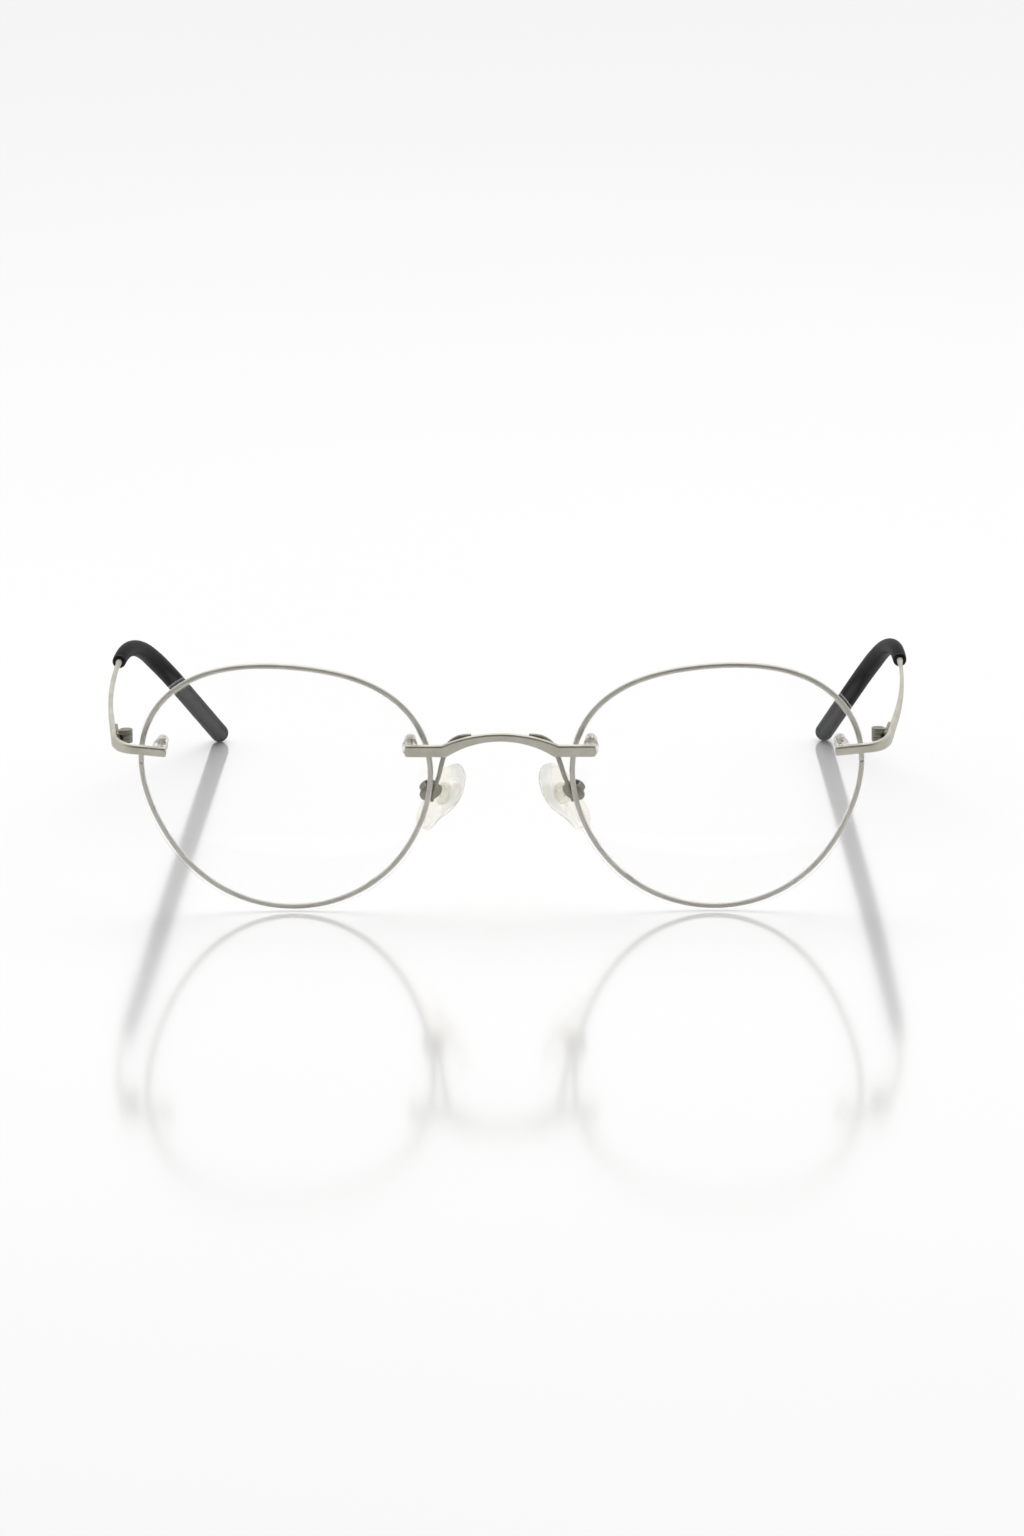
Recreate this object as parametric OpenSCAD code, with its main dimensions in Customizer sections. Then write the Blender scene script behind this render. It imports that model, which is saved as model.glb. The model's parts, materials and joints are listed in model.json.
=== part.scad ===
// Round wire eyeglasses: two clear grooved lenses, a metal wire in each groove, a bridge and two end
// pieces pinned to the lenses, adjustable nose pads, and temples that fold on screwed hinges.
// Millimetres, +Z up. The front faces -Y and the temples run to +Y. The glasses stand on the lower
// edges of the lenses and on the temple tips. "Left" is the wearer's left, at +X.

/* [Lenses and rims] */
// Width and height of the rim wire's outline
rim_size = 48; // [46:0.5:50]
// Gap between the two rim wires at the nose
rim_gap = 22; // [21:0.5:23]
// Diameter of the rim wire
wire_d = 0.88; // [0.7:0.02:0.9]
// Thickness of a lens
lens_t = 1.8; // [1.6:0.1:2.2]
// Radius of a lens's front surface
lens_r = 105; // [95:5:130]
// Forward lean of the front, in degrees
front_lean = 20; // [18:1:21]

/* [Bridge and end pieces] */
// Height of the bars above the bottom of the rims
bar_z = 33.2; // [32.5:0.1:34]
// Depth of the bars, front to back
bar_d = 0.9; // [0.8:0.1:1.1]
// Height of the bridge bar at its ends
bridge_h = 2.1; // [2:0.1:2.2]
// Rise of the bridge arch
bridge_rise = 3.0; // [2.5:0.1:3.5]
// Space between a lens and the bar in front of it
bar_standoff = 1.3; // [1.2:0.1:1.5]

/* [Nose pads] */
// Length of a nose pad
pad_len = 14; // [13:0.5:15]
// Angle of the pads in front view, in degrees
pad_frontal = 33; // [31:1:34]
// Angle of the pads in top view, in degrees
pad_splay = 26; // [24:1:28]

/* [Temples] */
// Length of the straight front part of a temple
temple_front = 45.6; // [44.6:0.2:46.6]
// Radius of the temple's bend
bend_r = 74; // [73:0.5:75]
// Slope of the temple tip below level, in degrees
tip_slope = 31; // [30:0.5:32]
// Diameter of the black tip sleeve
sleeve_d = 3.2; // [3:0.1:3.4]
// How far along the temple the sleeve starts
sleeve_start = 46.5; // [45:0.5:48]

/* [Hidden] */
$fn = 64;
fit = 0.01; // radial play of pressed and running fits
metal = [0.68, 0.66, 0.61];
clear_lens = [0.90, 0.94, 0.95, 0.35];
clear_plastic = [0.93, 0.92, 0.84, 0.6];

// Lens outline: a circle with small harmonics, each a share of its radius, that lift it towards the
// brow, carry its top towards the temple, flatten the brow and square its sides
outline_steps = 96;
wire_r = wire_d / 2;
ring_r = rim_size / 2 - wire_r;
outline_lift = 0.038;
outline_oval = -0.008;
outline_skew = 0.0215;
outline_turn = -0.006;
outline_brow = 0.0405;
outline_square = -0.01;
lip = 0.2; // how far the lens stands outside the wire
groove_w = wire_d + 2 * fit;
groove_depth = wire_r + fit;
lens_x = rim_gap / 2 + rim_size / 2;
lens_z = -min([for (p = outline_points(wire_r + lip)) p.y]);
lens_mid_r = lens_r - lens_t / 2;
lens_centre_y = sqrt(lens_mid_r * lens_mid_r - lens_z * lens_z);
front_lift = -lens_front_y(0, lens_z) * sin(front_lean);

// Mounting holes, on the level of the bars
hole_dz = bar_z - lens_z;
nasal_hole_x = 14.7;
temporal_hole_x = 55.2;
pin_r = 0.55;
bush_r = 0.95;
flange_r = 1.25;
through = 4; // long enough to pass through a lens
nasal_front_y = lens_front_y(lens_x - nasal_hole_x, hole_dz);
temporal_front_y = lens_front_y(temporal_hole_x - lens_x, hole_dz);
bridge_back_y = nasal_front_y - bar_standoff;
wrap = 10; // the end pieces follow the lens round by this angle

// Bridge bar
bridge_half = 15.5;
bridge_kink = 8.7;
bridge_mid_h = 1.4;
arc_steps = 12;

// Hinge, measured from its axis: c outwards, a back along the temple, z up
hinge_pos = [61.25, -5.5, 31.0];
hinge_splay = 5.9; // the temples open outwards by this angle at the hinge
barrel_r = 1.05;
hinge_screw_r = 0.4;
knuckle_h = 0.72;
knuckle_gap = 0.03;
knuckle_pitch = knuckle_h + knuckle_gap;
knuckle_top = knuckle_pitch + knuckle_h / 2;
hinge_head_r = 0.7;
recess_h = 0.36;
slot_w = 0.18;
slot_depth = 0.15;
leaf_in = 1.2;
leaf_half_h = 0.85;
leaf_gap = 0.15;
front_leaf_len = 2.2;
temple_leaf_len = 5;
blade_in = 1.6;
blade_t = 0.9;
blade_h = 1.9;
blade_mid = blade_in + blade_t / 2;
butt_gap = 0.05;

// End piece
end_bar_h = 1.65;
end_steps = 14;

// Temple line: straight, a bend, a slacker bend, then a straight tip
temple_rise = 1.85; // upward slope of the straight part, in degrees
bend_slope = 24; // slope below level where the slacker bend starts
slack_r = 180;
side_r = 266; // sideways radius that brings the tips together
side_start = 10;
blade_end_t = 0.55;
blade_end_h = 1.3;
core_r = 0.6;
sleeve_r = sleeve_d / 2;
sleeve_wall_steps = 12;
sleeve_mouth_r = 1.15; // the sleeve thickens from its mouth towards the tip
bend1_a = temple_front * cos(temple_rise);
bend1_z = temple_front * sin(temple_rise);
bend2_a = bend1_a + bend_r * (sin(bend_slope) + sin(temple_rise));
bend2_z = bend1_z + bend_r * (cos(bend_slope) - cos(temple_rise));
tip_a = bend2_a + slack_r * (sin(tip_slope) - sin(bend_slope));
tip_z = bend2_z + slack_r * (cos(tip_slope) - cos(bend_slope));
tip_side = side_offset(tip_a);
tip_turn = (tip_a - side_start) / side_r;
tip_along = unit([-tip_turn * cos(tip_slope), cos(tip_slope), -sin(tip_slope)]);
tip_len = (hinge_pos.z + tip_z - sleeve_r) / -tip_along.z;
core_end = 3.5; // the metal core stops this far short of the straight tip
tip_overlap = 1.5; // the straight tip starts this far back inside the curved part

// The origin is on the ground under the middle of the glasses
front_y = leaned([0, -lens_t / 2, 2 * lens_z]).y;
back_y = from_hinge(tip_side, tip_a, 0).y + tip_len * tip_along.y + sleeve_r;
middle_y = (front_y + back_y) / 2;

// Nose pads: their screw axis, in the frame of the glasses' front
pad_screw_pos = [11.93, 2.75, 21.9];
ear_r = 1.95; // the front ear
back_ear_r = 1.4;
ear_in = 0.6;
ear_out = 0.9;
stem_half = 0.5;
stem_r = 0.8;
pad_screw_r = 0.35;
pad_t = 2.6;
pad_out = 3.35;
pad_drop = 1.4;
pad_upper_r = 3.8;
pad_lower_r = 2.7;
pad_facets = 28;
insert_r = 1.8;
insert_t = 0.5;
insert_play = 0.02;
arm_t = 0.5;
arm_w = 0.95;
arm_root_y = bridge_back_y + arm_t / 2 + 2 * fit;
// Pad arm centre line, from its root on the back of the arch down to the pad box's front ear
arm_points = [
    [4.6, arm_root_y, bar_z + 2.6], [6.6, arm_root_y + 0.05, bar_z + 2.1],
    [8.3, arm_root_y + 0.18, bar_z + 0.7], [9.1, arm_root_y + 0.55, bar_z - 1.4],
    [9.7, arm_root_y + 1.5, 29.0],
    pad_screw_pos + [-1.75, -2.3, 4.2], pad_screw_pos + [-1.32, -1.6, 2.3],
    pad_screw_pos + [-0.42, -1.12, -1.6]
];

function lens_front_y(u, w) = lens_centre_y - sqrt(lens_r * lens_r - u * u - w * w);
function lens_mid_y(u, w) = lens_centre_y - sqrt(lens_mid_r * lens_mid_r - u * u - w * w);
function outline_r(phi) = ring_r * (1 + outline_lift * sin(phi)
    + outline_oval * cos(2 * phi) + outline_skew * sin(2 * phi)
    + outline_turn * cos(3 * phi) + outline_brow * sin(3 * phi) + outline_square * cos(4 * phi));
function outline_points(grow) = [
    for (i = [0:outline_steps - 1])
        let (phi = i * 360 / outline_steps, r = outline_r(phi) + grow) [r * cos(phi), r * sin(phi)]
];
function unit(v) = v / norm(v);
function mix(a, b, t) = a + (b - a) * t;
function bezier(p, t) = mix(
    mix(mix(p[0], p[1], t), mix(p[1], p[2], t), t),
    mix(mix(p[1], p[2], t), mix(p[2], p[3], t), t), t);
function spline_point(p, i, t) = let (
    n = len(p) - 1,
    p0 = p[max(i - 1, 0)], p1 = p[i], p2 = p[i + 1], p3 = p[min(i + 2, n)]
) bezier([p1, p1 + (p2 - p0) / 6, p2 - (p3 - p1) / 6, p2], t);
function spline(p, steps) = concat(
    [for (i = [0:len(p) - 2], k = [0:steps - 1]) spline_point(p, i, k / steps)], [p[len(p) - 1]]);
function tangent(path, i) = unit(path[min(i + 1, len(path) - 1)] - path[max(i - 1, 0)]);
// A ring of points round path point i; q.x is measured towards tangent x up, and q.y towards up
function ring_at(path, i, up, shape) = let (
    t = tangent(path, i),
    side = unit(cross(t, up)),
    top = cross(side, t)
) [for (q = shape) path[i] + side * q.x + top * q.y];
function disc_shape(r, n) = [for (k = [0:n - 1]) [r * cos(k * 360 / n), r * sin(k * 360 / n)]];
function bar_shape(w, h, r) = [
    for (corner = [[1, 1, 0], [-1, 1, 90], [-1, -1, 180], [1, -1, 270]], k = [0:2])
        [corner.x * (w / 2 - r) + r * cos(corner.z + k * 45), corner.y * (h / 2 - r) + r * sin(corner.z + k * 45)]
];
// From the upright frame of the front to the frame of the standing glasses
function leaned(p) = [
    p.x,
    p.y * cos(front_lean) - p.z * sin(front_lean),
    p.y * sin(front_lean) + p.z * cos(front_lean) + front_lift
];
function from_hinge(c, a, z) = hinge_pos + [
    c * cos(hinge_splay) + a * sin(hinge_splay), a * cos(hinge_splay) - c * sin(hinge_splay), z
];
function side_offset(a) = blade_mid - pow(max(a - side_start, 0), 2) / (2 * side_r);

// Temple line in hinge measure, by distance s along its side view
function bend1_len() = bend_r * (bend_slope + temple_rise) * PI / 180;
function bend2_len() = slack_r * (tip_slope - bend_slope) * PI / 180;
function line_len() = temple_front + bend1_len() + bend2_len();
function line_on_bend(a0, z0, r, slope0, d) = let (slope = slope0 + d / r * 180 / PI)
    [a0 + r * (sin(slope) - sin(slope0)), z0 + r * (cos(slope) - cos(slope0))];
function line_side_view(s) =
    s < temple_front ? [s * cos(temple_rise), s * sin(temple_rise)]
    : s < temple_front + bend1_len() ? line_on_bend(bend1_a, bend1_z, bend_r, -temple_rise, s - temple_front)
    : line_on_bend(bend2_a, bend2_z, slack_r, bend_slope, s - temple_front - bend1_len());
function temple_point(s) = let (p = line_side_view(s)) from_hinge(side_offset(p.x), p.x, p.y);
function temple_line(s0, s1, n) = [for (i = [0:n]) temple_point(s0 + (s1 - s0) * i / n)];

// Closes a row of rings into one solid; a looped row joins its last ring to its first
module skin(rings, loop = false) {
    n = len(rings[0]);
    m = len(rings);
    walls = [
        for (i = [0:(loop ? m - 1 : m - 2)], j = [0:n - 1]) let (i2 = (i + 1) % m, j2 = (j + 1) % n)
            [i * n + j, i * n + j2, i2 * n + j2, i2 * n + j]
    ];
    start_cap = [for (j = [n - 1:-1:0]) j];
    end_cap = [for (j = [0:n - 1]) (m - 1) * n + j];
    polyhedron([for (ring = rings) each ring], loop ? walls : concat(walls, [start_cap, end_cap]), convexity = 8);
}

// Centres the glasses over the origin, mirrored for the wearer's right side
module placed(side) {
    translate([0, -middle_y, 0]) mirror([side < 0 ? 1 : 0, 0, 0]) children();
}

// The front of the glasses, drawn upright, leans forward on the lower edges of its lenses
module front_frame() {
    translate([0, 0, front_lift]) rotate([front_lean, 0, 0]) children();
}

module at_lens() {
    front_frame() translate([lens_x, 0, lens_z]) children();
}

module hinge_frame() {
    translate(hinge_pos) rotate([0, 0, -hinge_splay]) children();
}

module pad_frame() {
    front_frame() translate(pad_screw_pos) rotate([0, -pad_frontal, 0]) rotate([0, 0, -pad_splay]) children();
}

module along_y(y0, y1, r) {
    translate([0, y0, 0]) rotate([-90, 0, 0]) cylinder(r = r, h = y1 - y0);
}

module lens_ball(r) {
    translate([0, lens_centre_y, 0]) sphere(r = r, $fn = 256);
}

module outline_prism(grow) {
    depth = 12;
    translate([0, depth / 2, 0]) rotate([90, 0, 0]) linear_extrude(depth) polygon(outline_points(grow));
}

// The part of the outline's prism between two balls that share the lens's centre
module lens_layer(grow, outer_r, inner_r) {
    difference() {
        intersection() {
            outline_prism(grow);
            lens_ball(outer_r);
        }
        lens_ball(inner_r);
    }
}

module at_hole(nasal) {
    if (nasal) translate([nasal_hole_x - lens_x, nasal_front_y, hole_dz]) children();
    else translate([temporal_hole_x - lens_x, temporal_front_y, hole_dz]) rotate([0, 0, wrap]) children();
}

module lens() {
    edge = wire_r + lip;
    past_edge = edge + 1;
    color(clear_lens) difference() {
        lens_layer(edge, lens_r, lens_r - lens_t);
        difference() {
            lens_layer(past_edge, lens_mid_r + groove_w / 2, lens_mid_r - groove_w / 2);
            outline_prism(-groove_depth);
        }
        for (nasal = [true, false]) at_hole(nasal) along_y(-through, through, bush_r + fit);
    }
}

module rim_wire() {
    rings = [
        for (i = [0:outline_steps - 1]) let (
            phi = i * 360 / outline_steps,
            out = [cos(phi), 0, sin(phi)],
            p = out * outline_r(phi)
        ) [for (q = disc_shape(wire_r, 8)) [p.x, lens_mid_y(p.x, p.z), p.z] + out * q.x - [0, q.y, 0]]
    ];
    color(metal) skin(rings, loop = true);
}

// A bush whose flange is seated on the lens's front and whose sleeve is flush with the lens's back
module lens_bush(nasal) {
    color(clear_plastic) difference() {
        union() {
            difference() {
                at_hole(nasal) along_y(-bar_standoff + fit, through, flange_r);
                lens_ball(lens_r + fit);
            }
            at_hole(nasal) along_y(-bar_standoff + fit, through, bush_r);
        }
        at_hole(nasal) along_y(-through, 2 * through, pin_r + fit);
        lens_ball(lens_r - lens_t);
    }
}

// A pin from the back of a bar through its bush, flush with the lens's back
module lens_pin(nasal) {
    color(metal) difference() {
        at_hole(nasal) along_y(-bar_standoff, through, pin_r);
        lens_ball(lens_r - lens_t);
    }
}

// Height of a circular arch over half span k with rise h, at x
function arch(x, k, h) = let (r = (k * k + h * h) / (2 * h)) sqrt(r * r - x * x) - r + h;

module bridge_bar() {
    top_kink = bridge_kink + 0.7;
    top_rise = bridge_rise + bridge_mid_h - bridge_h;
    corner = 0.4;
    half_h = bridge_h / 2;
    under = [
        for (i = [-arc_steps:arc_steps]) let (x = bridge_kink * i / arc_steps)
            [x, arch(x, bridge_kink, bridge_rise) - half_h]
    ];
    over = [
        for (i = [arc_steps:-1:-arc_steps]) let (x = top_kink * i / arc_steps)
            [x, arch(x, top_kink, top_rise) + half_h]
    ];
    right_end = [
        [bridge_half - corner, -half_h], [bridge_half, corner - half_h],
        [bridge_half, half_h - corner], [bridge_half - corner, half_h]
    ];
    left_end = [for (i = [3:-1:0]) [-right_end[i].x, right_end[i].y]];
    color(metal) front_frame() translate([0, bridge_back_y, bar_z]) rotate([90, 0, 0])
        linear_extrude(bar_d) polygon(concat(under, right_end, over, left_end));
}

// Bar across the lens, then an elbow that turns back to the hinge
module end_piece() {
    inner_end = -1.3; // along the bar from the hole
    elbow_start = 4;
    elbow_back = 2.3; // from the hinge axis to the end of the elbow
    elbow_pull_in = 2.4;
    elbow_pull_out = 2.8;
    corner = 0.25;
    along = [cos(wrap), sin(wrap), 0];
    to_bar = bar_standoff + bar_d / 2;
    bar_mid = [temporal_hole_x + sin(wrap) * to_bar, temporal_front_y - cos(wrap) * to_bar, bar_z];
    elbow_in = leaned(bar_mid + along * elbow_start);
    elbow_out = from_hinge(blade_mid, -elbow_back, 0);
    elbow = [
        elbow_in,
        elbow_in + (leaned(along) - leaned([0, 0, 0])) * elbow_pull_in,
        elbow_out - (from_hinge(0, 1, 0) - hinge_pos) * elbow_pull_out,
        elbow_out
    ];
    path = concat(
        [leaned(bar_mid + along * inner_end), leaned(bar_mid + along * elbow_start / 2)],
        [for (i = [0:end_steps]) bezier(elbow, i / end_steps)],
        [from_hinge(blade_mid, -butt_gap, 0)]
    );
    lens_up = [0, -sin(front_lean), cos(front_lean)];
    rings = [
        for (i = [0:len(path) - 1]) let (turn = min(max(i - 2, 0) / end_steps, 1))
            ring_at(path, i, mix(lens_up, [0, 0, 1], turn),
                bar_shape(mix(bar_d, blade_t, turn), mix(end_bar_h, blade_h, min(2 * turn, 1)), corner))
    ];
    color(metal) skin(rings);
}

// A hinge leaf on the side of one blade, from a0 to a1 along it, with a bored knuckle at each of the
// given levels and a block from block_a that joins it to the leaf
module hinge_leaf(a0, a1, levels, block_a) {
    into_leaf = 0.1;
    difference() {
        union() {
            translate([leaf_in, a0, -leaf_half_h]) cube([blade_in - leaf_in, a1 - a0, 2 * leaf_half_h]);
            for (level = levels) translate([0, 0, level - knuckle_h / 2]) {
                cylinder(r = barrel_r, h = knuckle_h);
                translate([0, block_a, 0]) cube([leaf_in + into_leaf, barrel_r, knuckle_h]);
            }
        }
        translate([0, 0, -2 * knuckle_top]) cylinder(r = hinge_screw_r + fit, h = 4 * knuckle_top);
    }
}

module front_hinge() {
    recess_r = hinge_head_r + 0.02;
    color(metal) hinge_frame() difference() {
        hinge_leaf(-front_leaf_len, -leaf_gap, [-knuckle_pitch, knuckle_pitch], -barrel_r);
        translate([0, 0, knuckle_top - recess_h]) cylinder(r = recess_r, h = 2 * recess_h);
    }
}

module temple_hinge() {
    color(metal) hinge_frame() hinge_leaf(leaf_gap, temple_leaf_len, [0], 0);
}

module hinge_screw() {
    head_h = recess_h - 0.04; // the head lies in the top knuckle's recess
    head_bottom = knuckle_top - head_h - 0.02;
    shank_len = head_bottom + knuckle_top + head_h / 2;
    color(metal) hinge_frame() difference() {
        union() {
            translate([0, 0, -knuckle_top]) cylinder(r = hinge_screw_r, h = shank_len);
            translate([0, 0, head_bottom]) cylinder(r = hinge_head_r, h = head_h);
        }
        translate([-hinge_head_r, -slot_w / 2, head_bottom + head_h - slot_depth])
            cube([2 * hinge_head_r, slot_w, 2 * slot_depth]);
    }
}

// Blade that tapers towards the sleeve, then a round core inside it
module temple() {
    steps = 44;
    blade_start = 2;
    neck = 3; // length over which the blade narrows to the core
    corner = 0.25;
    core_corner = 0.42;
    core_w = 1.8 * core_r;
    s_end = line_len() - core_end;
    path = concat([from_hinge(blade_mid, butt_gap, 0)], temple_line(blade_start, s_end, steps));
    rings = [
        for (i = [0:steps + 1]) let (
            s = i == 0 ? 0 : blade_start + (s_end - blade_start) * (i - 1) / steps,
            taper = min(s / (sleeve_start - neck), 1),
            into = min(max((s - sleeve_start + neck) / neck, 0), 1),
            w = mix(mix(blade_t, blade_end_t, taper), core_w, into),
            h = mix(mix(blade_h, blade_end_h, taper), core_w, into)
        ) ring_at(path, i, [0, 0, 1], bar_shape(w, h, mix(corner, core_corner, into)))
    ];
    color(metal) skin(rings);
}

module tip_sleeve() {
    steps = 30;
    bore_r = core_r + 0.05;
    bore_past_core = 0.2;
    slim_end_r = sleeve_r - 0.04; // the curved wall ends inside the straight tip
    full_at = 0.7; // share of the curve over which the sleeve thickens
    curve = temple_line(sleeve_start, line_len(), steps);
    bore_line = temple_line(sleeve_start, line_len() - core_end + bore_past_core, steps);
    bore = [
        for (i = [steps:-1:0])
            ring_at(bore_line, i, [0, 0, 1], disc_shape(bore_r, sleeve_wall_steps))
    ];
    outside = [
        for (i = [0:steps])
            ring_at(curve, i, [0, 0, 1], disc_shape(
                mix(sleeve_mouth_r, slim_end_r, min(i / steps / full_at, 1)), sleeve_wall_steps))
    ];
    color([0.12, 0.12, 0.12]) union() {
        skin(concat(bore, outside));
        hinge_frame() translate([tip_side, tip_a, tip_z])
            rotate([0, acos(tip_along.z), atan2(tip_along.y, tip_along.x)]) {
            translate([0, 0, -tip_overlap]) cylinder(r = sleeve_r, h = tip_len + tip_overlap);
            translate([0, 0, tip_len]) sphere(r = sleeve_r);
        }
    }
}

// Runs down from the back of the arch, flat at first and turning to lie across the pad box's front ear
module pad_arm() {
    steps = 4;
    corner = 0.12;
    turn_rate = 1.9;
    path = spline(arm_points, steps);
    last = len(path) - 1;
    rings = [
        for (i = [0:last]) let (t = i / last)
            ring_at(path, i, mix([0, 0, 1], [1, 0, 0], min(t * turn_rate, 1)),
                bar_shape(mix(arm_t, arm_w, t), mix(arm_w, arm_t, t), corner))
    ];
    color(metal) front_frame() skin(rings);
}

// Two round ears joined by a web on the side away from the nose
module pad_box() {
    web_t = 0.35;
    web_half_h = 0.7;
    into_ear = 0.1;
    color(metal) pad_frame() difference() {
        union() {
            along_y(-ear_out, -ear_in, ear_r);
            along_y(ear_in, ear_out, back_ear_r);
            translate([stem_r + 0.2, -ear_in - into_ear, -web_half_h])
                cube([web_t, 2 * (ear_in + into_ear), 2 * web_half_h]);
        }
        along_y(-2 * ear_out, 2 * ear_out, pad_screw_r + fit);
    }
}

module pad_screw() {
    head_r = 0.7;
    head_h = 0.35;
    end_play = 0.1; // the tip stays this far inside the front ear
    color(metal) pad_frame() difference() {
        union() {
            along_y(-ear_out + end_play, ear_out + head_h / 2, pad_screw_r);
            along_y(ear_out, ear_out + head_h, head_r);
        }
        translate([-head_r, ear_out + head_h - slot_depth, -slot_w / 2])
            cube([2 * head_r, 2 * slot_depth, slot_w]);
    }
}

// Stem and plate of the insert; play enlarges them all round to give the pocket in the pad
module insert_shape(play) {
    stem_half_h = 0.8;
    translate([-pad_out, -stem_half - play, -stem_half_h - play])
        cube([pad_out, 2 * (stem_half + play), 2 * (stem_half_h + play)]);
    translate([-pad_out - insert_t / 2 - play, 0, -stem_half_h / 2]) rotate([0, 90, 0])
        cylinder(r = insert_r + play, h = insert_t + 2 * play);
}

module pad_insert() {
    color(clear_plastic) pad_frame() difference() {
        union() {
            insert_shape(0);
            along_y(-stem_half, stem_half, stem_r);
        }
        along_y(-2 * stem_half, 2 * stem_half, pad_screw_r + fit);
    }
}

// A drop-shaped pad, wide above and narrow below, round its insert
module nose_pad() {
    upper_share = 0.75; // of half the pad's length
    lower_share = 0.5;
    half_l = pad_len / 2;
    color(clear_plastic) pad_frame() difference() {
        translate([-pad_out, 0, -pad_drop]) hull() {
            translate([0, 0, (1 - upper_share) * half_l])
                scale([pad_t / 2, pad_upper_r, upper_share * half_l]) sphere(r = 1, $fn = pad_facets);
            translate([0, 0, (lower_share - 1) * half_l])
                scale([pad_t / 2 - 0.2, pad_lower_r, lower_share * half_l]) sphere(r = 1, $fn = pad_facets);
        }
        insert_shape(insert_play);
    }
}

module sided_node(name, side) {
    placed(side) {
        if (name == "lens") at_lens() lens();
        if (name == "rim_wire") at_lens() rim_wire();
        if (name == "nasal_bush") at_lens() lens_bush(true);
        if (name == "temporal_bush") at_lens() lens_bush(false);
        if (name == "nasal_pin") at_lens() lens_pin(true);
        if (name == "temporal_pin") at_lens() lens_pin(false);
        if (name == "end_piece") end_piece();
        if (name == "pad_arm") pad_arm();
        if (name == "pad_box") pad_box();
        if (name == "pad_screw") pad_screw();
        if (name == "pad_insert") pad_insert();
        if (name == "nose_pad") nose_pad();
        if (name == "front_hinge") front_hinge();
        if (name == "temple_hinge") temple_hinge();
        if (name == "hinge_screw") hinge_screw();
        if (name == "temple") temple();
        if (name == "tip_sleeve") tip_sleeve();
    }
}

placed(1) bridge_bar();
for (name = [
    "lens", "rim_wire", "end_piece", "nasal_bush", "temporal_bush", "nasal_pin", "temporal_pin",
    "pad_arm", "pad_box", "pad_screw", "pad_insert", "nose_pad",
    "front_hinge", "temple_hinge", "hinge_screw", "temple", "tip_sleeve"
]) {
    sided_node(name, 1);
    sided_node(name, -1);
}
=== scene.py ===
"""Looks for round wire eyeglasses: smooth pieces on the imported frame, procedural materials, floor, light
and camera. Shapes are worked out in millimetres in the glasses' own measures and placed in metres."""
import json
import math

import bpy
from mathutils import Matrix, Vector


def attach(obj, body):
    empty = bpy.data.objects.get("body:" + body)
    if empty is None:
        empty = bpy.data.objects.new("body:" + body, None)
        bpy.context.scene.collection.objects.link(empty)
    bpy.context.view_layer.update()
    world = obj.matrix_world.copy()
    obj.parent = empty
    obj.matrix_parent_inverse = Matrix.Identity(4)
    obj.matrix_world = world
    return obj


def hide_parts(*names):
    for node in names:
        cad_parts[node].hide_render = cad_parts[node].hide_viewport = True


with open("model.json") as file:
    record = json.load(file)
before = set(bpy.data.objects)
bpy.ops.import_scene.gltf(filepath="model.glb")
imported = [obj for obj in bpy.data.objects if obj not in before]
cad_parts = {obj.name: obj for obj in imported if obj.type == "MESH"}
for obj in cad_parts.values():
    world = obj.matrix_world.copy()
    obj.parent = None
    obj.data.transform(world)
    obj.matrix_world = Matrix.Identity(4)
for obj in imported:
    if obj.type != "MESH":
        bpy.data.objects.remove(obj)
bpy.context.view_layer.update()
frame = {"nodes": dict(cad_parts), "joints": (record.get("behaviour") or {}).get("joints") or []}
JOINTS = {joint["name"]: joint for joint in frame["joints"]}
MM = 0.001

# Lens outline and surfaces, mm. Each harmonic is a share of the ring's radius.
WIRE_R = 0.445
RING_R = 23.56
LIFT, OVAL, SKEW, TURN, BROW, SQUARE = 0.038, -0.008, 0.0215, -0.006, 0.0405, -0.01
LENS_X = 35.0
LENS_Z = 24.218
LENS_R = 105.0
LENS_T = 1.8
MID_R = LENS_R - LENS_T / 2
CENTRE_Y = math.sqrt(MID_R ** 2 - LENS_Z ** 2)
LEAN = math.radians(20)
RING_STEPS = 240
SEAM_AT = math.radians(12)  # where the two ends of the rim wire meet
SEAM_GAP = 0.1

# Bars, mm
BAR_Z = 33.2
BAR_D = 0.9
BRIDGE_H = 2.1
BRIDGE_RISE = 3.0
BRIDGE_HALF = 15.5
BRIDGE_KINK = 8.7
BRIDGE_MID_H = 1.4
STANDOFF = 1.3
NASAL_X = 14.7
TEMPORAL_X = 55.2
WRAP = math.radians(10)
END_BAR_H = 1.65
CHAMFER = 0.2  # flat bevel along the edges of the bars
TRIM = 0.02  # taken off the height of the end bars and the blades, so that they stay inside the CAD

# Hinge and temple, mm: c outwards, a back along the temple, z up
HINGE_Y = -5.5
SPLAY = math.radians(5.9)
BLADE_MID = 2.05
BLADE_T = 0.9
BLADE_H = 1.9
BUTT_GAP = 0.05
RISE = math.radians(1.85)
FRONT_LEN = 45.6
BEND_R = 74.0
BEND_SLOPE = math.radians(24)
SLACK_R = 180.0
TIP_SLOPE = math.radians(31)
SIDE_R = 266.0
SIDE_START = 10.0
SLEEVE_START = 46.5
SLEEVE_R = 1.6
MOUTH_R = 1.14
FULL_AT = 0.7  # share of the sleeve's curve over which it thickens
BLADE_END_T = 0.55
BLADE_END_H = 1.3
CORE_W = 1.05

# Nose pads, mm, in the frame of the pad screw
PAD_AT = Vector((11.93, 2.75, 21.9))
PAD_FRONTAL = math.radians(33)
PAD_SPLAY = math.radians(26)
PAD_LEN = 14.0
PAD_T = 2.6
PAD_OUT = 3.35
PAD_DROP = 1.4
EAR_R = 1.94
BACK_EAR_R = 1.39
EAR_IN = 0.6
EAR_OUT = 0.9

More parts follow.
